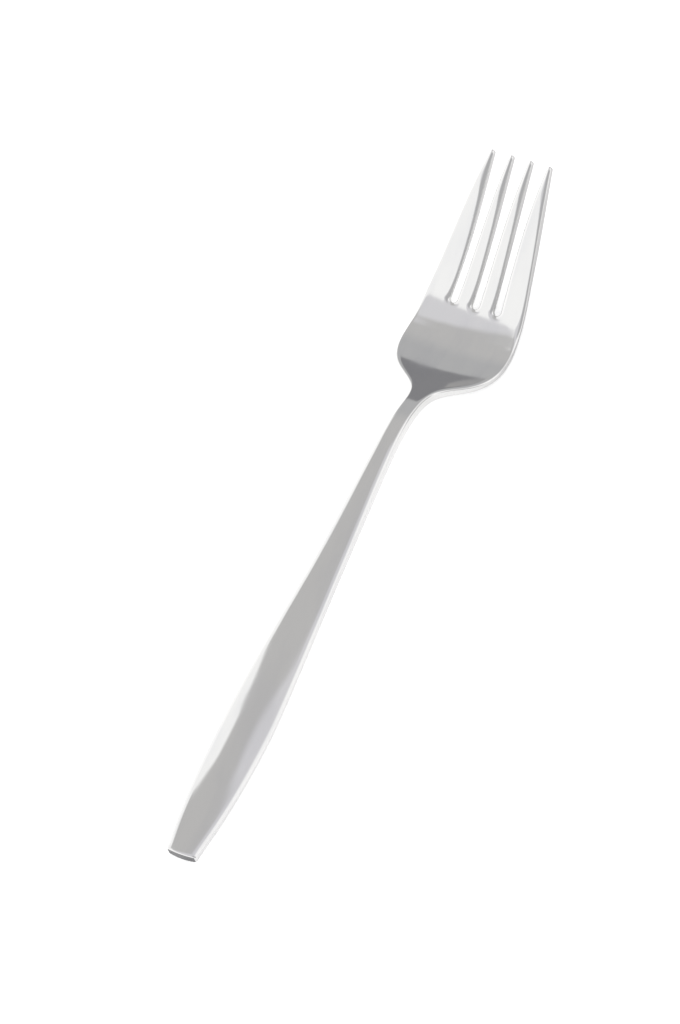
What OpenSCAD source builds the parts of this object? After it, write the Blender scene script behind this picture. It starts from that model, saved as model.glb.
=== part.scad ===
// Dinner fork with four tines, stamped from stainless steel sheet, bent and polished.
// X runs along the fork from the end of the handle to the tine tips, Y is to its left and Z is up.
// The fork lies as on a table: it rests on the end of the handle and on the bowl under the palm.
// The real fork is one piece of metal. Its regions are separate solids here, which meet face to face
// on cuts square to the line that the metal follows.

/* [Lengths] */
// From the end of the handle to the narrowest place of the neck
handle_l = 117; // [95:1:140]
// From the narrowest place of the neck to the lowest place of the bowl
shoulder_l = 30; // [26:1:38]
// From the lowest place of the bowl to the bottoms of the slots
palm_l = 9.7; // [7:0.1:16]
// From the bottoms of the slots to the tine tips
tine_l = 33; // [26:1:45]

/* [Heights] */
// Height of the neck at its narrowest place, at the middle of the metal
neck_h = 10; // [6:0.1:12]
// Height of the tine tips, at the middle of the metal
tip_h = 21.2; // [15:0.1:24]

/* [Widths] */
// Width of the handle at its end
butt_w = 7.5; // [7:0.1:11]
// Width of the handle at its widest
handle_w = 12.8; // [10:0.1:16]
// Width of the neck at its narrowest
neck_w = 4.25; // [3.6:0.05:6]
// Width of the palm at its widest
head_w = 27.6; // [25:0.1:32]
// Width of one tine at its tip
tip_w = 1.05; // [0.8:0.05:1.4]

/* [Slots] */
// Width of a slot at its round bottom
slot_w = 2; // [1.6:0.1:2.6]
// From slot to slot at the bottoms
slot_pitch = 5.8; // [5.2:0.1:6.6]
// From tine to tine at the tips
tip_pitch = 5.05; // [4.6:0.05:5.6]

/* [Thickness] */
// Thickness at the end of the handle
butt_t = 2.6; // [1.8:0.1:3]
// Thickness at the middle of the handle
handle_t = 2.45; // [2:0.05:3.5]
// Thickness at the neck
neck_t = 3.4; // [2.6:0.1:4]
// Thickness of the palm
palm_t = 1.7; // [1.5:0.1:2.8]
// Thickness of the tines halfway up
tine_t = 2.7; // [2:0.1:3.2]
// Thickness of the tines at their tips
tip_t = 1.8; // [1.2:0.1:2.2]

/* [Crowns and edges] */
// How far the top of the handle falls from its middle to its sides, where it is roundest
handle_crown = 0.8; // [0:0.05:0.9]
// How far the underside of the handle rises from its middle to its sides
belly_crown = 0.15; // [0:0.05:0.3]
// How far the sides of the palm stand above its middle
palm_dish = 0.85; // [0:0.05:1.6]
// How far in from its sides the top of the handle and neck is rounded off
handle_edge = 1.1; // [0.6:0.05:1.6]
// How far in from its sides the top of the palm is rounded off
palm_edge = 0.5; // [0.3:0.05:1]
// How far in from their sides the tops of the tines are rounded off
tine_edge = 1.4; // [0.6:0.05:1.8]
// How far the rounding of the top goes down
edge_depth = 0.5; // [0.2:0.05:0.6]
// Radius of the edges of the underside
under_edge = 0.45; // [0.2:0.05:0.5]
// Radius of the two corners at the end of the handle, seen from above
butt_corner = 0.6; // [0.4:0.1:2]
// How far the middle of the handle's end stands past its corners
butt_bow = 0.35; // [0:0.05:0.8]

/* [Hidden] */

// Places along the fork, from the end of the handle
neck_x = handle_l;
bowl_x = neck_x + shoulder_l;
slot_x = bowl_x + palm_l;
tip_x = slot_x + tine_l;

// The cuts between the regions
end_cut_share = 0.2;
stem_cut_share = 0.82;
neck_cut_share = 0.3;
palm_cut_share = 1.3;
end_cut = handle_l * end_cut_share;
stem_cut = handle_l * stem_cut_share;
neck_cut = neck_x + shoulder_l * neck_cut_share;
palm_cut = slot_x + slot_w * palm_cut_share;

// The round bottoms of the slots and the round tips
slot_r = slot_w / 2;
slot_end = slot_x + slot_r;
tip_r = tip_w / 2;
tip_start = tip_x - tip_r;
slot_tip_w = tip_pitch - tip_w;
tips_half = tip_pitch * 1.5 + tip_r;
slot_flare = 2.2;
slot_lean = 3;

// Shares of a height, width or thickness, placed at shares of the length they belong to
handle_rise_shares = [[0, 0], [0.25, 0.18], [0.5, 0.447], [0.75, 0.714], [0.9, 0.949], [1, 1]];
shoulder_drop_shares = [
    [0.1, 0.962], [0.2, 0.882], [0.3, 0.77], [0.4, 0.637], [0.5, 0.493],
    [0.6, 0.351], [0.7, 0.223], [0.8, 0.116], [0.9, 0.038], [1, 0]
];
palm_rise_shares = [[0.4, 0.012], [1, 0.11]];
tine_rise_shares = [[0.21, 0.29], [0.515, 0.58], [0.79, 0.835], [1, 1]];
butt_side_shares = [[0, 0], [0.1, 0.58], [0.205, 0.913], [0.308, 1]];
handle_side_shares = [
    [0.41, 0.88], [0.513, 0.705], [0.632, 0.477],
    [0.77, 0.262], [0.889, 0.115], [0.974, 0.03]
];
shoulder_side_shares = [
    [0.17, 0.01], [0.333, 0.045], [0.467, 0.235], [0.583, 0.615],
    [0.7, 0.862], [0.817, 0.97], [1, 1]
];
palm_side_shares = [[0.6, 0.932], [1, 0.872]];
tine_side_shares = [[0.24, 0.67], [0.515, 0.44], [1, 0]];
handle_thick_shares = [[0, 0], [0.25, 0.3], [0.5, 1]];
neck_thick_shares = [[0.77, 0.37], [0.95, 1]];
shoulder_thick_shares = [[0.25, 0.7], [0.5, 0.27], [0.75, 0.04], [1, 0]];
tine_thick_shares = [[0.8, 0.75], [1, 0]];
dish_shares = [
    [0, 0], [0.15, 0.01], [0.3, 0.05], [0.45, 0.22],
    [0.6, 0.6], [0.75, 0.92], [0.86, 1], [1, 1]
];
tine_dish_shares = [[0, 0.82], [0.3, 0.5], [0.6, 0.33], [1, 0.25]];
crown_shares = [
    [0, 0.3], [0.1, 0.35], [0.18, 0.72], [0.26, 1], [0.34, 0.88],
    [0.42, 0.6], [0.52, 0.38], [0.65, 0.27], [0.82, 0.2], [1, 0.2]
];

// A smooth curve through points [place, value], with steady curvature and straight ends.
// The bends are its second derivatives at the points.
function bend_sums(k, i = 1, c = [0], d = [0]) =
    i == len(k) - 1 ? [c, d] :
    let (
        a = k[i][0] - k[i - 1][0],
        b = k[i + 1][0] - k[i][0],
        turn = 6 * ((k[i + 1][1] - k[i][1]) / b - (k[i][1] - k[i - 1][1]) / a),
        m = 2 * (a + b) - a * c[i - 1]
    )
    bend_sums(k, i + 1, concat(c, b / m), concat(d, (turn - a * d[i - 1]) / m));
function bend_list(c, d, i, out) =
    i == 0 ? concat([0], out) : bend_list(c, d, i - 1, concat([d[i] - c[i] * out[0]], out));
function bends(k) = let (s = bend_sums(k)) bend_list(s[0], s[1], len(k) - 2, [0]);
function span_of(k, x, i = 0) = i >= len(k) - 2 || x < k[i + 1][0] ? i : span_of(k, x, i + 1);
function curve(k, m, x) =
    let (
        i = span_of(k, x),
        h = k[i + 1][0] - k[i][0],
        b = (x - k[i][0]) / h,
        a = 1 - b
    )
    a * k[i][1] + b * k[i + 1][1] + ((a^3 - a) * m[i] + (b^3 - b) * m[i + 1]) * h * h / 6;
function curve_slope(k, m, x) =
    let (
        i = span_of(k, x),
        h = k[i + 1][0] - k[i][0],
        b = (x - k[i][0]) / h,
        a = 1 - b
    )
    (k[i + 1][1] - k[i][1]) / h + ((3 * b^2 - 1) * m[i + 1] - (3 * a^2 - 1) * m[i]) * h / 6;
function keys(start, length, low, high, shares) =
    [for (s = shares) [start + length * s[0], low + (high - low) * s[1]]];

// The line that the middle of the metal follows, seen from the side
line_keys = concat(
    keys(0, handle_l, butt_t / 2, neck_h, handle_rise_shares),
    keys(neck_x, shoulder_l, palm_t / 2, neck_h, shoulder_drop_shares),
    keys(bowl_x, palm_l, palm_t / 2, tip_h, palm_rise_shares),
    keys(slot_x, tine_l, palm_t / 2, tip_h, tine_rise_shares)
);
line_bends = bends(line_keys);

// Half of the width, seen from above
side_keys = concat(
    keys(0, handle_l, butt_w / 2, handle_w / 2, butt_side_shares),
    keys(0, handle_l, neck_w / 2, handle_w / 2, handle_side_shares),
    keys(neck_x, shoulder_l, neck_w / 2, head_w / 2, shoulder_side_shares),
    keys(bowl_x, palm_l, tips_half, head_w / 2, palm_side_shares),
    keys(slot_x, tine_l, tips_half, head_w / 2, tine_side_shares)
);
side_bends = bends(side_keys);

// Thickness, square to the line
thick_keys = concat(
    keys(0, handle_l, butt_t, handle_t, handle_thick_shares),
    keys(0, handle_l, handle_t, neck_t, neck_thick_shares),
    keys(neck_x, shoulder_l, palm_t, neck_t, shoulder_thick_shares),
    [[slot_x, palm_t], [slot_x + tine_l / 2, tine_t]],
    keys(slot_x, tine_l, tip_t, tine_t, tine_thick_shares)
);
thick_bends = bends(thick_keys);

// How hollow the head is across its width
dish_keys = concat(
    keys(neck_x, shoulder_l, 0, palm_dish, dish_shares),
    keys(slot_x, tine_l, 0, palm_dish, tine_dish_shares)
);
dish_bends = bends(dish_keys);
function dish(x) = x <= neck_x ? 0 : curve(dish_keys, dish_bends, x);

// A share that goes softly from 0 to 1 between two places
function ease(x, from, to) = x <= from ? 0 : x >= to ? 1 : (1 - cos(180 * (x - from) / (to - from))) / 2;

// How round the handle is across its width. The top's and the underside's crowns leave a side wall.
crown_keys = keys(0, handle_l, 0, handle_crown, crown_shares);
crown_bends = bends(crown_keys);
crown_room_share = 0.7;
belly_room_share = 0.2;
function side_room(t) = 2 * t - edge_depth - under_edge;
function crown(x, t) =
    min(curve(crown_keys, crown_bends, min(x, neck_x)), side_room(t) * crown_room_share)
    * (1 - ease(x, stem_cut, neck_cut));
function belly(x, t) = min(belly_crown, side_room(t) * belly_room_share) * (1 - ease(x, stem_cut, neck_cut));

// Width and depth of the top's rounding along the fork, and radius of the underside's edges.
// At the handle's end the rounding is shallower and the radius is smaller.
palm_edge_share = 0.6;
butt_depth_share = 0.7;
butt_under_share = 0.3;
butt_run_share = 0.4;
function past_butt(x, share) = share + (1 - share) * ease(x, 0, butt_w * butt_run_share);
function edge_r(x) =
    handle_edge + (palm_edge - handle_edge) * ease(x, neck_x + shoulder_l * palm_edge_share, bowl_x)
    + (tine_edge - palm_edge) * ease(x, bowl_x, palm_cut);
function edge_drop(x) = edge_depth * past_butt(x, butt_depth_share);
function under_r(x) = under_edge * past_butt(x, butt_under_share);

// Half of the width, less the round corners at the handle's end
function corner_cut(x) = x >= butt_corner ? 0 : butt_corner - sqrt(max(0, x * (2 * butt_corner - x)));
function half_w(x) = curve(side_keys, side_bends, x) - corner_cut(x);

// Each slot's middle line and half width
function slot_run(x) = max(0, (x - slot_end) / (tip_x - slot_end));
function slot_mid(k, x) =
    k * (tip_pitch + (slot_pitch - tip_pitch) * (1 - min(1, slot_run(x)))^slot_lean);
function slot_half(x) =
    x <= slot_x ? 0 :
    x < slot_end ? sqrt((x - slot_x) * (2 * slot_r - (x - slot_x))) :
    slot_r + (slot_tip_w - slot_w) / 2 * slot_run(x)^slot_flare;
function slot_gap(k, x, y) =
    x < slot_end ? norm([x - slot_end, y - slot_mid(k, x)]) - slot_r : abs(y - slot_mid(k, x)) - slot_half(x);

// How far a point lies inside the outline, and how far a rounded edge has fallen there
function inside(x, y) =
    let (lean = curve_slope(side_keys, side_bends, x))
    min(
        (half_w(x) - abs(y)) / sqrt(1 + lean * lean),
        x < end_cut ? x : tip_x,
        x < bowl_x ? tip_x : min([for (k = [-1:1]) slot_gap(k, x, y)])
    );
function fall(d, r, depth) = d >= r ? 0 : (r - sqrt(max(0, d) * (2 * r - max(0, d)))) * min(depth / r, 1);

// A point of the top (side 1) or of the underside (side -1)
function skin(x, y, side) =
    let (
        slope = curve_slope(line_keys, line_bends, x),
        run = sqrt(1 + slope * slope),
        t = curve(thick_keys, thick_bends, x) / 2,
        q = pow(y / max(half_w(x), butt_w / 4), 2),
        bow = dish(x) + (side > 0 ? -crown(x, t) : belly(x, t)),
        r = side > 0 ? edge_r(x) : under_r(x),
        h = side * (t - fall(inside(x, y), r, side > 0 ? edge_drop(x) : r)) + bow * q,
        push = x < end_cut ? butt_bow * pow(2 * y / butt_w, 2) * (1 - x / end_cut) : 0
    )
    [x + push - h * slope / run, y, curve(line_keys, line_bends, x) + h / run];

// Places across a strip: closer at its edges, where it is rounded
edge_step_shares = [0, 0.1, 0.4, 1];
edge_room_shares = [0, 0.037, 0.15, 0.37];
edge_steps = len(edge_step_shares);
function across(low, high, r, middles) =
    let (
        w = high - low,
        step = [for (i = [0:edge_steps - 1]) min(r * edge_step_shares[i], w * edge_room_shares[i])],
        flat = step[edge_steps - 1]
    )
    concat(
        [for (s = step) low + s],
        [for (i = [1:middles]) low + flat + (w - 2 * flat) * i / (middles + 1)],
        [for (i = [edge_steps - 1:-1:0]) high - step[i]]
    );

// Places along: even steps, or closing in on a round end
function even(from, to, steps) = [for (i = [0:steps]) from + (to - from) * i / steps];
function rounding(start, r, steps) = [for (i = [1:steps]) start + r * (1 - cos(90 * i / steps))];
function rounding_off(start, r, steps, last) = [for (i = [1:steps]) start + r * sin(last * i / steps)];

// One strip of metal: a ring of points at each place, closed at both ends by square cuts
module strip(places, low, high, middles) {
    n = middles + 2 * edge_steps;
    rings = [
        for (x = places)
        let (ys = across(low(x), high(x), edge_r(x), middles))
        concat([for (y = ys) skin(x, y, 1)], [for (i = [n - 1:-1:0]) skin(x, ys[i], -1)])
    ];
    last = (len(places) - 1) * 2 * n;
    walls = [
        for (j = [0:len(places) - 2])
        for (i = [0:2 * n - 1])
        let (a = j * 2 * n + i, b = j * 2 * n + (i + 1) % (2 * n))
        each [[a, b, b + 2 * n], [a, b + 2 * n, a + 2 * n]]
    ];
    ends = [
        for (i = [0:n - 2])
        let (p = i, q = i + 1, r = 2 * n - 2 - i, s = 2 * n - 1 - i)
        each [[p, r, q], [p, s, r], [last + p, last + q, last + r], [last + p, last + r, last + s]]
    ];
    polyhedron([for (ring = rings) each ring], concat(walls, ends), convexity = 6);
}

// The palm: four strips side by side, whole up to the bottoms of the slots and parted above them
palm_steps = 24;
slot_steps = 6;
palm_mid_steps = 1;
function palm_side(k, x) =
    k == -2 ? -half_w(x) : k == 2 ? half_w(x) :
    x <= slot_x ? slot_mid(k, slot_x) * half_w(x) / half_w(slot_x) : slot_mid(k, x);
module palm_strips() {
    places = concat(
        even(neck_cut, slot_x, palm_steps),
        rounding(slot_x, slot_r, slot_steps),
        [palm_cut]
    );
    n = palm_mid_steps + 2 * edge_steps;
    row = 8 * n;
    points = [
        for (x = places)
        for (side = [1, -1])
        for (k = [-2:1])
        let (
            gap = slot_half(x),
            low = palm_side(k, x) + (k == -2 ? 0 : gap),
            high = palm_side(k + 1, x) - (k == 1 ? 0 : gap)
        )
        for (y = across(low, high, edge_r(x), palm_mid_steps)) skin(x, y, side)
    ];
    // below the slots, a strip's first column is the last column of the strip before it
    function spot(j, side, k, i) =
        j <= palm_steps && i == 0 && k > 0 ? spot(j, side, k - 1, n - 1) :
        j * row + side * 4 * n + k * n + i;
    skins = [
        for (j = [0:len(places) - 2])
        for (k = [0:3])
        for (i = [0:n - 2])
        let (
            a = spot(j, 0, k, i), b = spot(j, 0, k, i + 1),
            c = spot(j + 1, 0, k, i + 1), d = spot(j + 1, 0, k, i),
            e = spot(j, 1, k, i), f = spot(j, 1, k, i + 1),
            g = spot(j + 1, 1, k, i + 1), h = spot(j + 1, 1, k, i)
        )
        each [[a, b, c], [a, c, d], [e, g, f], [e, h, g]]
    ];
    walls = [
        for (j = [0:len(places) - 2])
        for (k = [0:3])
        for (i = [0, n - 1])
        if (j >= palm_steps || (k == 0 && i == 0) || (k == 3 && i == n - 1))
        let (
            a = spot(j, 0, k, i), b = spot(j + 1, 0, k, i),
            c = spot(j + 1, 1, k, i), d = spot(j, 1, k, i)
        )
        each i == 0 ? [[a, b, c], [a, c, d]] : [[a, c, b], [a, d, c]]
    ];
    ends = [
        for (j = [0, len(places) - 1])
        for (k = [0:3])
        for (i = [0:n - 2])
        let (
            a = spot(j, 0, k, i), b = spot(j, 0, k, i + 1),
            c = spot(j, 1, k, i + 1), d = spot(j, 1, k, i)
        )
        each j == 0 ? [[a, c, b], [a, d, c]] : [[a, b, c], [a, c, d]]
    ];
    polyhedron(points, concat(skins, walls, ends), convexity = 10);
}

// One tine, counted from the fork's right. Its tip is round, seen from above.
tine_steps = 14;
tip_steps = 4;
tip_turn = 84;
module tine(k) {
    tip_mid = (k - 1.5) * tip_pitch;
    strip(
        concat(even(palm_cut, tip_start, tine_steps), rounding_off(tip_start, tip_r, tip_steps, tip_turn)),
        function (x) x > tip_start ? tip_mid - sqrt(tip_r^2 - (x - tip_start)^2)
            : k == 0 ? -half_w(x) : slot_mid(k - 2, x) + slot_half(x),
        function (x) x > tip_start ? tip_mid + sqrt(tip_r^2 - (x - tip_start)^2)
            : k == 3 ? half_w(x) : slot_mid(k - 1, x) - slot_half(x),
        1
    );
}

// The handle's end has its corners and its top and bottom edges rounded
end_steps = 8;
corner_steps = 6;
corner_l = max(butt_corner, handle_edge);
handle_mid_steps = 5;
module handle_end() {
    color("silver")
        strip(
            concat([0], rounding(0, corner_l, corner_steps), even(corner_l, end_cut, end_steps)),
            function (x) -half_w(x), function (x) half_w(x), handle_mid_steps
        );
}

stem_steps = 18;
module stem() {
    color("silver")
        strip(even(end_cut, stem_cut, stem_steps), function (x) -half_w(x), function (x) half_w(x), handle_mid_steps);
}

neck_steps = 12;
module neck() {
    color("silver")
        strip(even(stem_cut, neck_cut, neck_steps), function (x) -half_w(x), function (x) half_w(x), handle_mid_steps);
}

module palm() {
    color("silver") palm_strips();
}

module tine_1() {
    color("silver") tine(0);
}

module tine_2() {
    color("silver") tine(1);
}

module tine_3() {
    color("silver") tine(2);
}

module tine_4() {
    color("silver") tine(3);
}

// The middle of the fork's length, from its tips to the end of its handle, is at X = 0
front = max([for (x = even(tip_start - tip_t, tip_x, tine_steps)) skin(x, tip_pitch / 2, -1)[0]]);
back = skin(0, 0, -1)[0];
translate([-(front + back) / 2, 0, 0]) {
    handle_end();
    stem();
    neck();
    palm();
    tine_1();
    tine_2();
    tine_3();
    tine_4();
}
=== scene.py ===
import math

import bpy
import numpy as np
from mathutils import Matrix, Vector, kdtree


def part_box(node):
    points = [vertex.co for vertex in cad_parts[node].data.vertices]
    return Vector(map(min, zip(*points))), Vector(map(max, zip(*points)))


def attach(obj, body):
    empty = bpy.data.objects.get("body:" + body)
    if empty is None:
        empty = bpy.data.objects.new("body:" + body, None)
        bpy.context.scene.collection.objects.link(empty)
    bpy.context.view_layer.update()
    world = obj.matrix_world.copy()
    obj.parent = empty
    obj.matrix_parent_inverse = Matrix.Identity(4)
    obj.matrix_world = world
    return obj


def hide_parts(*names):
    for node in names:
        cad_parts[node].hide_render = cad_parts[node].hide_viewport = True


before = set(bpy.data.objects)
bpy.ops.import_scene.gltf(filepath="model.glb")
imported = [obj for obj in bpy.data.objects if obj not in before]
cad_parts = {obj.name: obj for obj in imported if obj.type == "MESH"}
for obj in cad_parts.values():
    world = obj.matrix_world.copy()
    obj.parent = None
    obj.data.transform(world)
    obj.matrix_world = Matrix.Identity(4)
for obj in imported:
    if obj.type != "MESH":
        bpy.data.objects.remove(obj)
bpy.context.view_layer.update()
print("frame:", len(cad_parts), "nodes")

mm = 0.001
sameSpot = 0.001 * mm  # points closer than this are one point
quarterTurn = math.pi / 2


# Node trees

class Wire:
    # a socket of a node tree: operators on it add Math nodes, and node() adds any other node
    def __init__(self, tree, socket=None):
        self.tree = tree
        self.socket = socket

    def node(self, kind, settings=None, values=None, output=0):
        made = self.tree.nodes.new(kind)
        for name, value in (settings or {}).items():
            setattr(made, name, value)
        for name, value in (values or {}).items():
            if isinstance(value, Wire):
                self.tree.links.new(value.socket, made.inputs[name])
            else:
                made.inputs[name].default_value = value
        return Wire(self.tree, made.outputs[output])

    def __add__(self, other):
        return maths("ADD", self, other)

    def __radd__(self, other):
        return maths("ADD", other, self)

    def __sub__(self, other):
        return maths("SUBTRACT", self, other)

    def __rsub__(self, other):
        return maths("SUBTRACT", other, self)

    def __mul__(self, other):
        return maths("MULTIPLY", self, other)

    def __rmul__(self, other):
        return maths("MULTIPLY", other, self)

    def __truediv__(self, other):
        return maths("DIVIDE", self, other)

    def __pow__(self, other):
        return maths("POWER", self, other)

    def __abs__(self):
        return maths("ABSOLUTE", self)

    def __gt__(self, other):
        return maths("GREATER_THAN", self, other)

    def __lt__(self, other):
        return maths("LESS_THAN", self, other)


def maths(operation, *values):
    tree = next(value.tree for value in values if isinstance(value, Wire))
    return Wire(tree).node("ShaderNodeMath", {"operation": operation}, dict(enumerate(values)))


def least(*values):
    return values[0] if len(values) == 1 else maths("MINIMUM", values[0], least(*values[1:]))


def most(*values):
    return values[0] if len(values) == 1 else maths("MAXIMUM", values[0], most(*values[1:]))


def root(value):
    return maths("SQRT", value)


def longSide(first, second):
    return root(first * first + second * second)


# The fork along its length, from the end of the handle to the tips: sizes in metres, and shares of them

fork = {
    "handleLength": 117 * mm,  # to the narrowest place of the neck
    "shoulderLength": 30 * mm,
    "palmLength": 9.7 * mm,
    "tineLength": 33 * mm,
    "neckHeight": 10 * mm,
    "tipHeight": 21.2 * mm,
    "endWidth": 7.5 * mm,
    "handleWidth": 12.8 * mm,
    "neckWidth": 4.25 * mm,
    "headWidth": 27.6 * mm,
    "tipWidth": 1.05 * mm,
    "slotWidth": 2 * mm,
    "slotPitch": 5.8 * mm,
    "tipPitch": 5.05 * mm,
    "slotFlare": 2.2,          # 1 widens a slot evenly towards the tips, more widens it later
    "slotLean": 3,             # 1 leans the outer slots inwards evenly, more leans them earlier
    "endThick": 2.6 * mm,
    "handleThick": 2.45 * mm,
    "neckThick": 3.4 * mm,
    "palmThick": 1.7 * mm,
    "tineThick": 2.7 * mm,
    "tipThick": 1.8 * mm,
    "handleEdge": 1.1 * mm,    # how far in from its sides the top is rounded off
    "palmEdge": 0.5 * mm,
    "palmEdgeStart": 0.6,      # share of the shoulder's length where the handle's edge turns into the palm's
    "tineEdge": 1.4 * mm,
    "edgeRoom": 0.75,          # share of half the width that the rounding may take at most
    "edgeDepth": 0.5 * mm,     # how far the rounding goes down
    "underEdge": 0.45 * mm,    # radius of the edges of the underside
    "endEdgeDepth": 0.7,       # shares of the last two that are left at the handle's end
    "endUnderEdge": 0.3,
    "endEdgeLength": 0.4,      # how far from that end they are whole, in widths of it
    "handleCrown": 0.8 * mm,   # fall of the top from its middle to its sides, where it is roundest
    "bellyCrown": 0.15 * mm,   # rise of the underside from its middle to its sides
    "palmDish": 0.85 * mm,     # rise of the palm's sides above its middle
    "endCorner": 0.6 * mm,
    "endBow": 0.35 * mm,
}
cuts = {
    # the places where the fork is divided into its regions
    "handleEnd": 0.2,          # shares of the handle's length
    "stem": 0.82,
    "neck": 0.3,               # share of the shoulder's length
    "palm": 1.3,               # slot widths past the bottoms of the slots
}
outerTine = 1.5                # pitches from the middle of the head to the middle of its outer tines

neckX = fork["handleLength"]
bowlX = neckX + fork["shoulderLength"]
shoulderX = neckX + fork["palmEdgeStart"] * fork["shoulderLength"]
slotX = bowlX + fork["palmLength"]
tipX = slotX + fork["tineLength"]
endCut = cuts["handleEnd"] * fork["handleLength"]
stemCut = cuts["stem"] * fork["handleLength"]
neckCut = neckX + cuts["neck"] * fork["shoulderLength"]
palmCut = slotX + cuts["palm"] * fork["slotWidth"]
slotRadius = fork["slotWidth"] / 2
slotEnd = slotX + slotRadius
tipRadius = fork["tipWidth"] / 2
tipStart = tipX - tipRadius


class Curve:
    # a smooth curve through (place, value) points, with steady curvature and straight ends
    def __init__(self, points):
        self.x, self.y = np.array(points, float).T
        step = np.diff(self.x)
        rise = np.diff(self.y) / step
        count = len(self.x)
        table = np.eye(count)
        turn = np.zeros(count)
        for i in range(1, count - 1):
            table[i, i - 1:i + 2] = step[i - 1], 2 * (step[i - 1] + step[i]), step[i]
            turn[i] = 6 * (rise[i] - rise[i - 1])
        self.bend = np.linalg.solve(table, turn)

    def parts(self, x):
        i = np.clip(np.searchsorted(self.x, x, side="right") - 1, 0, len(self.x) - 2)
        step = self.x[i + 1] - self.x[i]
        b = (x - self.x[i]) / step
        return i, step, 1 - b, b

    def at(self, x):
        i, step, a, b = self.parts(x)
        bent = (a**3 - a) * self.bend[i] + (b**3 - b) * self.bend[i + 1]
        return a * self.y[i] + b * self.y[i + 1] + bent * step**2 / 6

    def slope(self, x):
        i, step, a, b = self.parts(x)
        bent = (3 * b**2 - 1) * self.bend[i + 1] - (3 * a**2 - 1) * self.bend[i]
        return (self.y[i + 1] - self.y[i]) / step + bent * step / 6


def along(start, length, low, high, shares):
    # shares are pairs: how far along the length, and how far from low to high
    return [(start + length * place, low + (high - low) * share) for place, share in shares]


def forkCurves(f):
    handle, shoulder, palm, tine = f["handleLength"], f["shoulderLength"], f["palmLength"], f["tineLength"]
    half = f["palmThick"] / 2
    tips = outerTine * f["tipPitch"] + f["tipWidth"] / 2
    height = (
        along(0, handle, f["endThick"] / 2, f["neckHeight"],
              [(0, 0), (0.25, 0.18), (0.5, 0.447), (0.75, 0.714), (0.9, 0.949), (1, 1)])
        + along(neckX, shoulder, half, f["neckHeight"],
                [(0.1, 0.962), (0.2, 0.882), (0.3, 0.77), (0.4, 0.637), (0.5, 0.493),
                 (0.6, 0.351), (0.7, 0.223), (0.8, 0.116), (0.9, 0.038), (1, 0)])
        + along(bowlX, palm, half, f["tipHeight"], [(0.4, 0.012), (1, 0.11)])
        + along(slotX, tine, half, f["tipHeight"], [(0.21, 0.29), (0.515, 0.58), (0.79, 0.835), (1, 1)])
    )
    side = (
        along(0, handle, f["endWidth"] / 2, f["handleWidth"] / 2,
              [(0, 0), (0.1, 0.58), (0.205, 0.913), (0.308, 1)])
        + along(0, handle, f["neckWidth"] / 2, f["handleWidth"] / 2,
                [(0.41, 0.88), (0.513, 0.705), (0.632, 0.477), (0.77, 0.262), (0.889, 0.115), (0.974, 0.03)])
        + along(neckX, shoulder, f["neckWidth"] / 2, f["headWidth"] / 2,
                [(0.17, 0.01), (0.333, 0.045), (0.467, 0.235), (0.583, 0.615), (0.7, 0.862),
                 (0.817, 0.97), (1, 1)])
        + along(bowlX, palm, tips, f["headWidth"] / 2, [(0.6, 0.932), (1, 0.872)])
        + along(slotX, tine, tips, f["headWidth"] / 2, [(0.24, 0.67), (0.515, 0.44), (1, 0)])
    )
    thick = (
        along(0, handle, f["endThick"], f["handleThick"], [(0, 0), (0.25, 0.3), (0.5, 1)])
        + along(0, handle, f["handleThick"], f["neckThick"], [(0.77, 0.37), (0.95, 1)])
        + along(neckX, shoulder, f["palmThick"], f["neckThick"],
                [(0.25, 0.7), (0.5, 0.27), (0.75, 0.04), (1, 0)])
        + [(slotX, f["palmThick"]), (slotX + tine / 2, f["tineThick"])]
        + along(slotX, tine, f["tipThick"], f["tineThick"], [(0.8, 0.75), (1, 0)])
    )
    dish = (
        along(neckX, shoulder, 0, f["palmDish"],
              [(0, 0), (0.15, 0.01), (0.3, 0.05), (0.45, 0.22), (0.6, 0.6), (0.75, 0.92), (0.86, 1), (1, 1)])
        + along(slotX, tine, 0, f["palmDish"], [(0, 0.82), (0.3, 0.5), (0.6, 0.33), (1, 0.25)])
    )
    crown = along(0, handle, 0, 1, [(0, 0.3), (0.1, 0.35), (0.18, 0.72), (0.26, 1), (0.34, 0.88), (0.42, 0.6),
                                    (0.52, 0.38), (0.65, 0.27), (0.82, 0.2), (1, 0.2)])
    return Curve(height), Curve(side), Curve(thick), Curve(dish), Curve(crown)


heightCurve, sideCurve, thickCurve, dishCurve, crownCurve = forkCurves(fork)


def ease(x, start, end):
    return (1 - np.cos(np.pi * np.clip((x - start) / (end - start), 0, 1))) / 2


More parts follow.
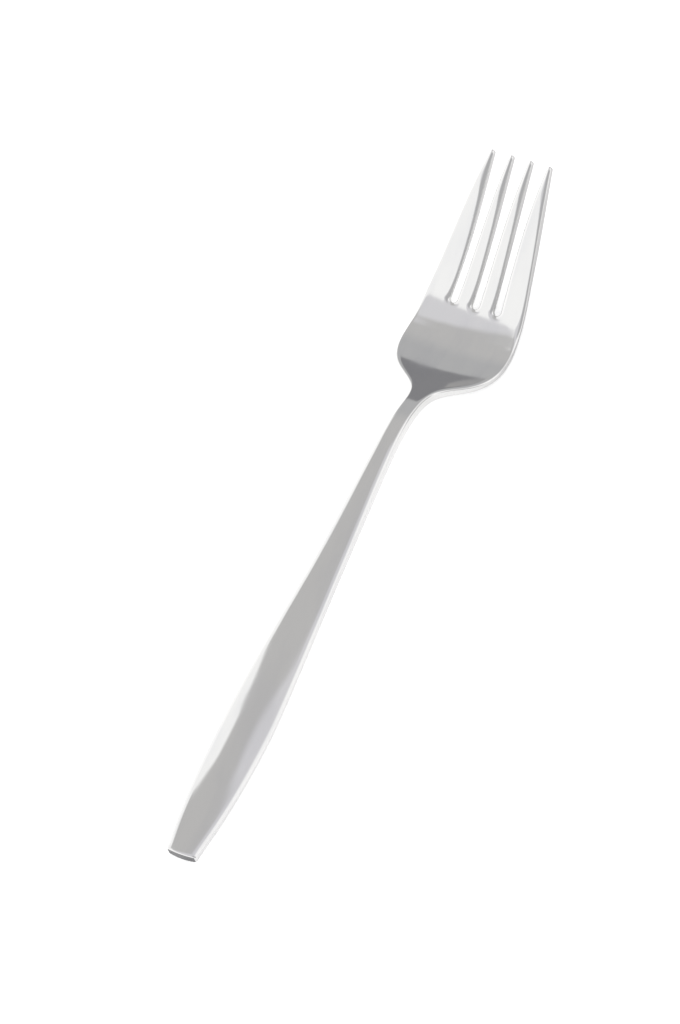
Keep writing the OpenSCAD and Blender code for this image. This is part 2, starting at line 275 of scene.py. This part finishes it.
def stationValues(x, isOpen):
    # all that is the same across the width of the fork, at the places x; metalStrip reads it by these names
    side = sideCurve.at(x)
    corner = fork["endCorner"]
    inCorner = np.clip(x, 0, corner)
    cornerCut = corner - np.sqrt(inCorner * (2 * corner - inCorner))
    fromEnd = ease(x, 0, fork["endEdgeLength"] * fork["endWidth"])
    onPalm = ease(x, shoulderX, bowlX)
    onTines = ease(x, bowlX, palmCut)
    edge = fork["handleEdge"] + (fork["palmEdge"] - fork["handleEdge"]) * onPalm
    onHandle = 1 - ease(x, stemCut, neckCut)
    run = np.clip((x - slotEnd) / (tipX - slotEnd), 0, 1)
    middle = fork["tipPitch"] + (fork["slotPitch"] - fork["tipPitch"]) * (1 - run)**fork["slotLean"]
    slotTip = fork["tipPitch"] - fork["tipWidth"]
    slotHalf = slotRadius + (slotTip - fork["slotWidth"]) / 2 * run**fork["slotFlare"]
    inSlot = np.clip(x - slotX, 0, slotRadius)
    gap = np.where(x < slotEnd, np.sqrt(inSlot * (2 * slotRadius - inSlot)), slotHalf)
    past = np.clip(x - tipStart, 0, tipRadius)
    return {
        "along": x,
        "height": heightCurve.at(x),
        "slope": heightCurve.slope(x),
        "halfThick": thickCurve.at(x) / 2,
        "side": side,
        "sideSlope": sideCurve.slope(x),
        "outline": side - cornerCut,
        "dish": np.where(x > neckX, dishCurve.at(x), 0),
        "topCrown": crownCurve.at(np.minimum(x, neckX)) * onHandle,
        "bellyCrown": onHandle,
        "edge": edge + (fork["tineEdge"] - fork["palmEdge"]) * onTines,
        "edgeDepth": fork["edgeDepth"] * (fork["endEdgeDepth"] + (1 - fork["endEdgeDepth"]) * fromEnd),
        "underEdge": fork["underEdge"] * (fork["endUnderEdge"] + (1 - fork["endUnderEdge"]) * fromEnd),
        "slotLine": np.where(x <= slotX, fork["slotPitch"] * side / sideCurve.at(slotX), middle),
        "slotGap": gap,
        "slotMiddle": middle,
        "slotHalf": slotHalf,
        "slotBehind": np.clip(slotEnd - x, 0, None),
        "tipPast": past,
        "tipShare": np.sqrt(np.clip(1 - (past / tipRadius)**2, 0, 1)),
        "open": np.array(isOpen, float),
    }


# The press: a strip of metal swept along the fork's line, with rounded edges, a crown and a dish

headSides = (-2, 2)        # the slots are numbered -1, 0 and 1, and these stand for the sides of the head
betweenNumbers = 0.5       # half way from one whole number to the next, for telling them apart
nearlyWhole = 0.999        # a share above this is 1


def newTree(name, inputs):
    # a Geometry Nodes tree, its named inputs and the end that its geometry goes to
    tree = bpy.data.node_groups.new(name, "GeometryNodeTree")
    tree.interface.new_socket("Geometry", in_out="OUTPUT", socket_type="NodeSocketGeometry")
    for label, kind, value in inputs:
        socket = tree.interface.new_socket(label, in_out="INPUT", socket_type="NodeSocket" + kind)
        if value is not None:
            socket.default_value = value
    start = tree.nodes.new("NodeGroupInput")
    end = tree.nodes.new("NodeGroupOutput")
    return tree, {s.name: Wire(tree, s) for s in start.outputs if s.name}, end


pressInputs = [
    ("Geometry", "Geometry", None),
    ("From Slot", "Int", headSides[0]),
    ("To Slot", "Int", headSides[1]),
    ("Edge Steps", "Int", 6),
    ("Middle Steps", "Int", 24),
    ("Handle Crown", "Float", fork["handleCrown"]),
    ("Belly Crown", "Float", fork["bellyCrown"]),
    ("End Width", "Float", fork["endWidth"]),
    ("End Corner", "Float", fork["endCorner"]),
    ("End Bow", "Float", fork["endBow"]),
]


def metalStrip():
    # one strip between two slots, or between a slot and a side, as a closed skin
    tree, size, end = newTree("metalStrip", pressInputs)
    start = Wire(tree)
    path = size["Geometry"]
    columns = 2 * size["Edge Steps"] + size["Middle Steps"] + 1
    rings = start.node("GeometryNodeAttributeDomainSize", {"component": "MESH"}, {"Geometry": path})
    tube = start.node("GeometryNodeMeshCylinder", {"fill_type": "NONE"},
                      {"Vertices": 2 * columns, "Side Segments": rings - 1, "Radius": 1.0, "Depth": 1.0})
    spot = start.node("GeometryNodeInputPosition")
    x, y, z = [spot.node("ShaderNodeSeparateXYZ", None, {"Vector": spot}, i) for i in range(3)]

    # which station and which column a point of the tube stands for; the tube's middle is at 0
    ring = maths("ROUND", (z + 0.5) * (rings - 1))
    turn = maths("ROUND", maths("ARCTAN2", y, x) * (columns / math.pi))
    turn = maths("FLOORED_MODULO", turn, 2 * columns)
    onTop = turn < columns - betweenNumbers
    column = onTop * (columns - 1 - turn) + (1 - onTop) * (turn - columns)
    face = 2 * onTop - 1
    isHigh = column > (columns - 1) / 2
    fromEdge = least(column, columns - 1 - column)

    def station(name):
        field = start.node("GeometryNodeInputNamedAttribute", {"data_type": "FLOAT"}, {"Name": name})
        return start.node("GeometryNodeSampleIndex", {"data_type": "FLOAT", "domain": "POINT"},
                          {"Geometry": path, "Value": field, "Index": ring})

    s = {name: station(name) for name in stationValues(np.array([neckX]), [1])}
    beyondSlots = headSides[1] - betweenNumbers

    def border(slot, gapSide):
        # a strip ends at the outline, at slots -2 and 2, or at the wall of a slot
        atOutline = abs(slot) > beyondSlots
        outline = slot / headSides[1] * s["outline"]
        wall = slot * s["slotLine"] + gapSide * s["slotGap"]
        return atOutline * outline + (1 - atOutline) * wall

    low = border(size["From Slot"], 1)
    high = border(size["To Slot"], -1)
    centre = (low + high) / 2
    reach = (high - low) / 2 * s["tipShare"]
    rounded = least(s["edge"], fork["edgeRoom"] * reach)
    bendShare = least(fromEdge / size["Edge Steps"], 1)
    step = rounded * (1 - maths("COSINE", bendShare * quarterTurn))
    step = step + 2 * (reach - rounded) * most(fromEdge - size["Edge Steps"], 0) / size["Middle Steps"]
    across = centre + (2 * isHigh - 1) * (reach - step)

    # how far the point lies inside the outline: sides and end, slots, tip
    endPart = size["End Corner"] - s["along"]
    sidePart = (abs(across) - s["side"]) / root(1 + s["sideSlope"] ** 2) + size["End Corner"]
    beyond = longSide(most(endPart, 0), most(sidePart, 0)) + least(most(endPart, sidePart), 0)
    inside = size["End Corner"] - beyond
    slots = [longSide(s["slotBehind"], across - k * s["slotMiddle"]) - s["slotHalf"] for k in (-1, 0, 1)]
    fromTip = tipRadius - longSide(s["tipPast"], across - centre) + (s["tipShare"] > nearlyWhole)
    inside = least(inside, *slots, fromTip)

    # a rounded edge falls along a quarter of an ellipse on top, and of a circle below
    radius = onTop * s["edge"] + (1 - onTop) * s["underEdge"]
    room = most(least(inside, radius), 0)
    depth = onTop * s["edgeDepth"] + (1 - onTop) * radius
    fallen = (radius - root(room * (2 * radius - room))) * least(depth / radius, 1)
    crown = (1 - onTop) * size["Belly Crown"] * s["bellyCrown"] - onTop * size["Handle Crown"] * s["topCrown"]
    halfWidth = most(s["outline"], size["End Width"] / 4)
    bow = (s["dish"] + crown) * (across / halfWidth) ** 2
    lift = s["open"] * face * (s["halfThick"] - fallen) + bow
    slant = root(1 + s["slope"] ** 2)
    push = size["End Bow"] * (2 * across / size["End Width"]) ** 2 * most(1 - s["along"] / endCut, 0)
    place = start.node("ShaderNodeCombineXYZ", None, {
        "X": s["along"] + push - lift * s["slope"] / slant,
        "Y": across,
        "Z": s["height"] + lift / slant,
    })

    # strips side by side share no wall where there is no slot between them
    lowWall = (column < betweenNumbers) * (abs(size["From Slot"]) < beyondSlots)
    highWall = (column > columns - 1 - betweenNumbers) * (abs(size["To Slot"]) < beyondSlots)
    inner = (lowWall + highWall) * (s["slotGap"] < sameSpot)
    blank = start.node("ShaderNodeCombineXYZ", None, {"X": s["along"], "Y": across, "Z": lift})
    marks = {"rim": inside, "under": 1 - onTop, "inner": inner, "cap": 1 - s["open"], "blank": blank}
    geometry = tube
    for name, value in marks.items():
        kind = "FLOAT_VECTOR" if name == "blank" else "FLOAT"
        geometry = start.node("GeometryNodeStoreNamedAttribute", {"data_type": kind, "domain": "POINT"},
                              {"Geometry": geometry, "Name": name, "Value": value})
    geometry = start.node("GeometryNodeSetPosition", None, {"Geometry": geometry, "Position": place})
    tree.links.new(geometry.socket, end.inputs[0])
    return tree


def pressTree(name, stripTree, strips):
    # strips of metal, pressed, joined and closed; a single strip keeps the slots that are set from outside
    tree, size, end = newTree(name, pressInputs + [("Material", "Material", None)])
    start = Wire(tree)
    join = tree.nodes.new("GeometryNodeJoinGeometry")
    for slots in strips:
        strip = tree.nodes.new("GeometryNodeGroup")
        strip.node_tree = stripTree
        given = dict(zip(("From Slot", "To Slot"), slots)) if len(strips) > 1 else {}
        for label, _, _ in pressInputs:
            if label in given:
                strip.inputs[label].default_value = given[label]
            else:
                tree.links.new(size[label].socket, strip.inputs[label])
        tree.links.new(strip.outputs[0], join.inputs[0])
    inner = start.node("GeometryNodeInputNamedAttribute", {"data_type": "FLOAT"}, {"Name": "inner"})
    geometry = start.node("GeometryNodeDeleteGeometry", {"domain": "FACE"},
                          {"Geometry": Wire(tree, join.outputs[0]), "Selection": inner > nearlyWhole})
    geometry = start.node("GeometryNodeMergeByDistance", None, {"Geometry": geometry, "Distance": sameSpot})
    geometry = start.node("GeometryNodeSetShadeSmooth", None, {"Geometry": geometry})
    geometry = start.node("GeometryNodeRealizeInstances", None, {"Geometry": geometry})
    geometry = start.node("GeometryNodeSetMaterial", None,
                          {"Geometry": geometry, "Material": size["Material"]})
    tree.links.new(geometry.socket, end.inputs[0])
    return tree


def pathMesh(name, places, isOpen):
    # the fork's line from place to place, which carries the values of each station
    values = stationValues(np.array(places), isOpen)
    mesh = bpy.data.meshes.new(name)
    points = [(x, 0, z) for x, z in zip(values["along"], values["height"])]
    mesh.from_pydata(points, [(i, i + 1) for i in range(len(points) - 1)], [])
    for label, numbers in values.items():
        mesh.attributes.new(label, "FLOAT", "POINT").data.foreach_set("value", numbers.astype(np.float32))
    return mesh


def pressed(name, places, isOpen, tree, settings, material):
    # the plain mesh that the tree makes along a path
    piece = bpy.data.objects.new(name, pathMesh(name + "Path", places, isOpen))
    bpy.context.scene.collection.objects.link(piece)
    modifier = piece.modifiers.new("press", "NODES")
    modifier.node_group = tree
    sockets = {s.name: s.identifier for s in tree.interface.items_tree if s.in_out == "INPUT"}
    for label, value in {**settings, "Material": material}.items():
        modifier[sockets[label]] = value
    piece.update_tag()
    seen = bpy.context.evaluated_depsgraph_get()
    mesh = bpy.data.meshes.new_from_object(piece.evaluated_get(seen))
    piece.modifiers.remove(modifier)
    piece.data = mesh
    mesh.name = name
    return piece


def even(start, end, step):
    count = max(1, round((end - start) / step))
    return [start + (end - start) * i / count for i in range(1, count + 1)]


def closingIn(start, length, count):
    # places along a quarter circle, which come closer together towards its end
    return [start + length * math.sin(quarterTurn * i / count) for i in range(1, count + 1)]


def openingOut(start, length, count):
    # the same, closer together at its start
    return [start + length * (1 - math.cos(quarterTurn * i / count)) for i in range(1, count + 1)]


# The pieces, from the end of the handle to the tines

stations = {
    "handleStep": 0.5 * mm,
    "neckStep": 0.4 * mm,
    "palmStep": 0.35 * mm,
    "slotStep": 0.12 * mm,
    "tineStep": 0.4 * mm,
    "roundSteps": 10,
}


def endPlaces():
    edge = fork["handleEdge"]
    return [0] + openingOut(0, edge, stations["roundSteps"]) + even(edge, endCut, stations["handleStep"])


def stemPlaces():
    return [endCut] + even(endCut, stemCut, stations["handleStep"])


def neckPlaces():
    return [stemCut] + even(stemCut, neckCut, stations["neckStep"])


def palmPlaces():
    nearSlot = slotX - 2 * fork["palmEdge"]
    return ([neckCut]
            + even(neckCut, nearSlot, stations["palmStep"])
            + even(nearSlot, slotX, stations["slotStep"])
            + openingOut(slotX, slotRadius, 2 * stations["roundSteps"])
            + even(slotEnd, palmCut, stations["palmStep"]))


def tinePlaces():
    return ([palmCut]
            + even(palmCut, tipStart, stations["tineStep"])
            + closingIn(tipStart, tipRadius, stations["roundSteps"]))


def awayFromEnds(x):
    return tipRadius < x < tipX - tipRadius


def shareNormals(piece, wider):
    # the shading runs on across the cuts: it is taken from a longer copy, and only the cuts are flat
    mesh = piece.data
    tree = kdtree.KDTree(len(wider.vertices))
    for vertex in wider.vertices:
        tree.insert(vertex.co, vertex.index)
    tree.balance()
    normals = []
    for vertex in mesh.vertices:
        _, index, distance = tree.find(vertex.co)
        normals.append(wider.vertices[index].normal if distance < sameSpot else vertex.normal)
    cap = mesh.attributes["cap"].data
    loops = []
    for polygon in mesh.polygons:
        onCap = any(cap[i].value > betweenNumbers for i in polygon.vertices)
        onCut = onCap and awayFromEnds(polygon.center.x)
        loops += [polygon.normal if onCut else normals[i] for i in polygon.vertices]
    mesh.normals_split_custom_set(loops)


def makePiece(name, node, places, isCut, tree, settings, material):
    # isCut says whether the start and the end are cut faces, where the shading has to run on
    closed = [places[0]] + places + [places[-1]]
    piece = pressed(name, closed, [0] + [1] * len(places) + [0], tree, settings, material)
    step = stations["palmStep"]
    before = places[0] - step if isCut[0] else places[0]
    after = places[-1] + step if isCut[1] else places[-1]
    isOpen = [float(isCut[0])] + [1] * len(places) + [float(isCut[1])]
    wider = pressed(name + "Wider", [before] + places + [after], isOpen, tree, settings, material)
    shareNormals(piece, wider.data)
    bpy.data.objects.remove(wider)
    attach(piece, "root")
    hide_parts(node)
    print("piece:", name, len(piece.data.polygons), "faces")
    return piece


# Materials

def newMaterial(name):
    material = bpy.data.materials.new(name)
    material.use_nodes = True
    tree = material.node_tree
    tree.nodes.clear()
    return material, Wire(tree)


steel = {
    "fresh": (0.665, 0.663, 0.658, 1),
    "handled": (0.625, 0.625, 0.63, 1),
    "rubbed": (0.74, 0.735, 0.725, 1),      # along the edges
    "groundAndPaintedShade": (0.235, 0.235, 0.24, 1),      # painted shade: the end of the handle, ground and not polished, with a dark colour that stands in for the dark reflection that the end face shows
    "groundAndShadeEdge": (0.08 * mm, 0.14 * mm),   # from that end, where the polish begins and is whole, and where the painted shade fades out
    "roughness": 0.07,
    "lineRough": 0.03,       # ups and downs that follow the grain of the polish
    "wipedRough": 0.05,      # added where it has been handled and wiped
    "rubbedRough": 0.07,     # added along the edges
    "wallRough": 0.13,       # added on the cut sides
    "scratchRough": 0.12,
    "groundRough": 0.3,
    "lines": (12 * mm, 0.13 * mm, 0.13 * mm),       # the grain of the polish, which runs along the fork
    "lineDepth": 0.0011 * mm,
    "wallLines": 2,                                 # how much deeper it is on the cut sides
    "waves": (10 * mm, 4.5 * mm, 4.5 * mm),         # the metal isn't quite even
    "waveDepth": 0.035 * mm,
    "wipes": (26 * mm, 8 * mm, 8 * mm),             # patches that a cloth has left
    "wipedNoise": (0.42, 0.66),                     # noise below the first is fresh, above the second wiped
    "wipedColour": 0.5,                             # share that the waves don't change
    "nicks": (1.6 * mm, 0.5 * mm, 0.5 * mm),
    "edgeWear": 0.55 * mm,                          # how far in from the edges it is rubbed
    "rubbedColour": (0.35, 0.4),                    # least share, and what the nicks add to it
    "wallReach": 0.05 * mm,
    "noiseRoughness": 0.55,
}
noiseMiddle = 0.5
scratches = {
    # length and width of the grain that they follow, turn in degrees
    "sets": [
        (9 * mm, 0.6 * mm, 12),
        (7 * mm, 0.5 * mm, -24),
        (5 * mm, 0.45 * mm, 63),
    ],
    "line": 0.02,            # noise this close to its middle is a scratch
    "bare": (0.5, 0.62),     # a second noise leaves whole places without any
    "depth": 0.0004 * mm,
    "onTop": 0.3,            # share of the underside's scratches that the top has
}


def grain(place, size, detail, turn=0):
    # noise from 0 to 1 with spots of this size
    spot = place.node("ShaderNodeMapping", {"vector_type": "TEXTURE"},
                      {"Vector": place, "Scale": size, "Rotation": (0, 0, math.radians(turn))})
    return place.node("ShaderNodeTexNoise", None, {
        "Vector": spot,
        "Scale": 1.0,
        "Detail": detail,
        "Roughness": steel["noiseRoughness"],
    })


def fade(value, start, end):
    # 1 up to start, 0 from end on
    return value.node("ShaderNodeMapRange", {"interpolation_type": "SMOOTHSTEP"},
                      {"Value": value, "From Min": start, "From Max": end, "To Min": 1.0, "To Max": 0.0})


def blend(first, second, share):
    # on a Mix node, 0, 6 and 7 are the factor and the two colours, and output 2 is the colour
    return share.node("ShaderNodeMix", {"data_type": "RGBA"}, {0: share, 6: first, 7: second}, 2)


def scratchMarks(blank):
    marks = 0
    for length, width, turn in scratches["sets"]:
        line = abs(grain(blank, (length, width, width), detail=1, turn=turn) - noiseMiddle)
        place = grain(blank, (length / 2, length / 2, length / 2), detail=0, turn=turn)
        marks = marks + fade(line, 0, scratches["line"]) * (1 - fade(place, *scratches["bare"]))
    return least(marks, 1)


def polishedSteel():
    # patterns follow the metal as it lay before it was bent: along, across and up
    material, start = newMaterial("polishedSteel")
    blank = start.node("ShaderNodeAttribute", {"attribute_name": "blank"}, None, "Vector")
    rim = start.node("ShaderNodeAttribute", {"attribute_name": "rim"}, None, "Fac")
    under = start.node("ShaderNodeAttribute", {"attribute_name": "under"}, None, "Fac")
    x = start.node("ShaderNodeSeparateXYZ", None, {"Vector": blank})
    lines = grain(blank, steel["lines"], detail=3)
    waves = grain(blank, steel["waves"], detail=1)
    wiped = 1 - fade(grain(blank, steel["wipes"], detail=4), *steel["wipedNoise"])
    nicks = grain(blank, steel["nicks"], detail=3)
    rubbed = fade(rim - (nicks - noiseMiddle) * steel["edgeWear"], 0, steel["edgeWear"])
    wall = fade(rim, 0, steel["wallReach"])
    # the ground end face: rougher, and darkened with painted shade
    groundAndPaintedShade = fade(x, *steel["groundAndShadeEdge"])
    scratched = scratchMarks(blank)

    colour = blend(steel["fresh"], steel["handled"],
                   wiped * (steel["wipedColour"] + (1 - steel["wipedColour"]) * waves))
    leastRubbed, nickRubbed = steel["rubbedColour"]
    colour = blend(colour, steel["rubbed"], rubbed * (leastRubbed + nickRubbed * nicks))
    # painted shade: the end face is darkened to stand in for a dark reflection
    colour = blend(colour, steel["groundAndPaintedShade"], groundAndPaintedShade)

    where = scratches["onTop"] + (1 - scratches["onTop"]) * under
    rough = steel["roughness"] + wiped * steel["wipedRough"] + steel["lineRough"] * (lines - noiseMiddle)
    rough = rough + rubbed * nicks * steel["rubbedRough"] + wall * steel["wallRough"]
    rough = rough + scratched * where * steel["scratchRough"] + groundAndPaintedShade * steel["groundRough"]

    depth = lines * (1 + steel["wallLines"] * wall) * steel["lineDepth"]
    depth = depth + waves * steel["waveDepth"] - scratched * scratches["depth"]
    bump = start.node("ShaderNodeBump", None, {"Height": depth / mm, "Distance": mm})
    shader = start.node("ShaderNodeBsdfPrincipled", None,
                        {"Base Color": colour, "Metallic": 1.0, "Roughness": rough, "Normal": bump})
    out = start.tree.nodes.new("ShaderNodeOutputMaterial")
    start.tree.links.new(shader.socket, out.inputs["Surface"])
    return material


steelMaterial = polishedSteel()
stripTree = metalStrip()
betweenSlots = [(slot, slot + 1) for slot in range(*headSides)]
wholeTree = pressTree("pressedWhole", stripTree, [headSides])
palmTree = pressTree("pressedPalm", stripTree, betweenSlots)

# how finely each is divided across
handle = {"Edge Steps": 6, "Middle Steps": 30}
palm = {"Edge Steps": 6, "Middle Steps": 18}
tine = {"Edge Steps": 6, "Middle Steps": 8}

plan = [
    # piece, node that it replaces, stations, whether its start and end are cuts, tree, settings
    ("polishedHandleEnd", "handle_end", endPlaces(), (False, True), wholeTree, handle),
    ("polishedStem", "stem", stemPlaces(), (True, True), wholeTree, handle),
    ("polishedNeck", "neck", neckPlaces(), (True, True), wholeTree, handle),
    ("polishedPalm", "palm", palmPlaces(), (True, True), palmTree, palm),
]
for number, (fromSlot, toSlot) in enumerate(betweenSlots, 1):
    settings = {**tine, "From Slot": fromSlot, "To Slot": toSlot}
    plan.append((f"polishedTine{number}", f"tine_{number}", tinePlaces(), (True, False), wholeTree, settings))
pieces = [makePiece(*row, steelMaterial) for row in plan]

# The fork's own start is at the end of its handle; the part's is in the middle
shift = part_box("handle_end")[0].x - min(vertex.co.x for vertex in pieces[0].data.vertices)
for piece in pieces:
    piece.data.transform(Matrix.Translation((shift, 0, 0)))
print("shift along X:", round(shift / mm, 3), "mm")

# Floor, light and camera

floorLook = {
    "size": 8,
    "colour": 0.85,
    "roughness": 0.8,
    "leftGlow": 0.6,         # its own light to the left of the fork, as the fork mirrors it
    "rightGlow": 0.45,       # to the right of the handle
    "tineGlow": 0.08,        # to the right of the tines
    "seenGlow": 0.5,         # as the camera sees it
    "handleToTines": (28 * mm, 62 * mm),     # along X
    "rightToLeft": (-10 * mm, 15 * mm),      # along Y
}


def makeFloor():
    # the floor is overexposed to plain white, as in a catalogue picture, and the fork mirrors it less evenly
    bpy.ops.mesh.primitive_plane_add(size=floorLook["size"], location=(0, 0, 0))
    floor = bpy.context.object
    floor.name = "floor"
    material, start = newMaterial("paleFloor")
    spot = start.node("ShaderNodeTexCoord", None, None, "Object")
    x, y = [start.node("ShaderNodeSeparateXYZ", None, {"Vector": spot}, i) for i in range(2)]
    byHandle = fade(x, *floorLook["handleToTines"])
    onRight = fade(y, *floorLook["rightToLeft"])
    glow = floorLook["tineGlow"] + byHandle * (floorLook["rightGlow"] - floorLook["tineGlow"])
    glow = floorLook["leftGlow"] + onRight * (glow - floorLook["leftGlow"])
    seen = start.node("ShaderNodeLightPath", None, None, "Is Camera Ray")
    glow = glow + seen * (floorLook["seenGlow"] - glow)
    pale = start.node("ShaderNodeBsdfPrincipled", None, {
        "Base Color": (floorLook["colour"],) * 3 + (1,),
        "Roughness": floorLook["roughness"],
        "Emission Color": start.node("ShaderNodeCombineColor", None, {0: glow, 1: glow, 2: glow}),
        "Emission Strength": 1.0,
    })
    out = start.tree.nodes.new("ShaderNodeOutputMaterial")
    start.tree.links.new(pale.socket, out.inputs["Surface"])
    floor.data.materials.append(material)


# The studio is a white tent with an opening on the camera's side. The room's cards hang behind the opening,
# and the front cards before tent and opening alike; a later card covers an earlier one. They are placed on
# a sky chart: overhead is its middle, the horizon is a circle of radius 1, and X and Y are the fork's own.
# An edge has the side that it faces, in degrees, and its distance from the chart's middle.
studio = {
    "tent": (1.33, 1.33, 1.33),
    "opening": ([(161.6, 0.2167), (92, 0.296)], 0.04, 0.012),    # edges, corner radius, softness
    "room": (0.93, 0.925, 0.955),
    "roomCards": [
        # edges, corner radius, softness, brightness
        ([(209.7, -0.092), (270, 0.05)], 0.02, 0.04, (0.7, 0.693, 0.69)),
        ([(180, -0.085), (0, 0.172), (90, 0.095)], 0.02, 0.035, (0.93, 0.92, 0.955)),
        ([(180, 0.02), (90, -0.15)], 0.05, 0.1, (1.33, 1.33, 1.33)),
        ([(0, -0.02), (90, 0.03)], 0.05, 0.05, (0.62, 0.62, 0.63)),
    ],
    "frontCards": [
        ([(180, -0.162), (270, -0.15), (128.3, 0.135), (90, 0.37)], 0.01, 0.006, (0.7, 0.693, 0.69)),
        ([(180, 0.03), (0, 0.127), (270, -0.25), (90, 0.305)], 0.01, 0.006, (0.72, 0.715, 0.715)),
        ([(180, -0.4), (270, 0.05)], 0.05, 0.1, (0.62, 0.622, 0.63)),
        ([(184, -0.68), (270, 0.25), (90, 0.47)], 0.05, 0.012, (0.32, 0.32, 0.335)),
        ([(270, -0.5)], 0.05, 0.08, (1.5, 1.5, 1.5)),
        ([(180, -0.4), (90, -0.36)], 0.08, 0.08, (0.6, 0.6, 0.61)),
        ([(0, -0.52)], 0.08, 0.08, (0.6, 0.6, 0.61)),
    ],
    "chartReach": 1.001,     # a little over 1, so that straight down isn't infinitely far out on the chart
    "backdrop": 1.1,         # brightness behind the floor, as the camera sees it
}


def cardMask(x, y, edges, corner, soft):
    # 1 inside a card, 0 outside; its corners are round
    gaps = [x * math.cos(math.radians(side)) + y * math.sin(math.radians(side)) - distance + corner
            for side, distance in edges]
    gap = root(sum(most(g, 0)**2 for g in gaps)) + least(most(*gaps), 0) - corner
    return fade(gap, -soft, soft)


def hang(light, cards, x, y):
    for edges, corner, soft, bright in cards:
        light = blend(light, bright + (1,), cardMask(x, y, edges, corner, soft))
    return light


def makeWorld():
    world = bpy.data.worlds.new("studio")
    bpy.context.scene.world = world
    world.use_nodes = True
    world.node_tree.nodes.clear()
    start = Wire(world.node_tree)
    sky = start.node("ShaderNodeTexCoord", None, None, "Generated")
    x, y, z = [start.node("ShaderNodeSeparateXYZ", None, {"Vector": sky}, i) for i in range(3)]
    spread = studio["chartReach"] + z
    x, y = x / spread, y / spread
    light = hang(studio["room"] + (1,), studio["roomCards"], x, y)
    light = blend(studio["tent"] + (1,), light, cardMask(x, y, *studio["opening"]))
    light = hang(light, studio["frontCards"], x, y)
    lit = start.node("ShaderNodeBackground", None, {"Color": light})
    plain = start.node("ShaderNodeBackground", None,
                       {"Color": (1, 1, 1, 1), "Strength": studio["backdrop"]})
    seen = start.node("ShaderNodeLightPath", None, None, "Is Camera Ray")
    sky = start.node("ShaderNodeMixShader", None, {0: seen, 1: lit, 2: plain})
    out = world.node_tree.nodes.new("ShaderNodeOutputWorld")
    world.node_tree.links.new(sky.socket, out.inputs["Surface"])
    print("studio:", len(studio["roomCards"]) + len(studio["frontCards"]), "cards")


camera = {
    "azimuth": -137.67,      # degrees, from +X towards +Y
    "elevation": 56.64,
    "roll": 18.813,
    "distance": 1.3766,      # metres, from the point that it looks at
    "lookAt": (-0.0001, 0.0058, 0.0025),
    "aside": (0.00004, 0.00007),     # from that point to the left and down, metres in the picture's plane
    "lens": 206.66,
    "clip": (0.01, 50),
}


def makeCamera():
    azimuth, elevation, roll = [math.radians(camera[name]) for name in ("azimuth", "elevation", "roll")]
    back = Vector((math.cos(elevation) * math.cos(azimuth), math.cos(elevation) * math.sin(azimuth),
                   math.sin(elevation)))
    level = Vector((-math.sin(azimuth), math.cos(azimuth), 0))
    upright = back.cross(level)
    right = level * math.cos(roll) - upright * math.sin(roll)
    up = upright * math.cos(roll) + level * math.sin(roll)
    data = bpy.data.cameras.new("camera")
    data.lens = camera["lens"]
    data.clip_start, data.clip_end = camera["clip"]
    made = bpy.data.objects.new("camera", data)
    bpy.context.scene.collection.objects.link(made)
    turn = Matrix((right, up, back)).transposed().to_4x4()
    aim = Vector(camera["lookAt"]) - right * camera["aside"][0] - up * camera["aside"][1]
    made.matrix_world = Matrix.Translation(aim + back * camera["distance"]) @ turn
    bpy.context.scene.camera = made
    print("camera:", [round(v, 3) for v in made.matrix_world.translation], "m")


makeFloor()
makeWorld()
makeCamera()
bpy.context.scene.view_settings.view_transform = "Standard"
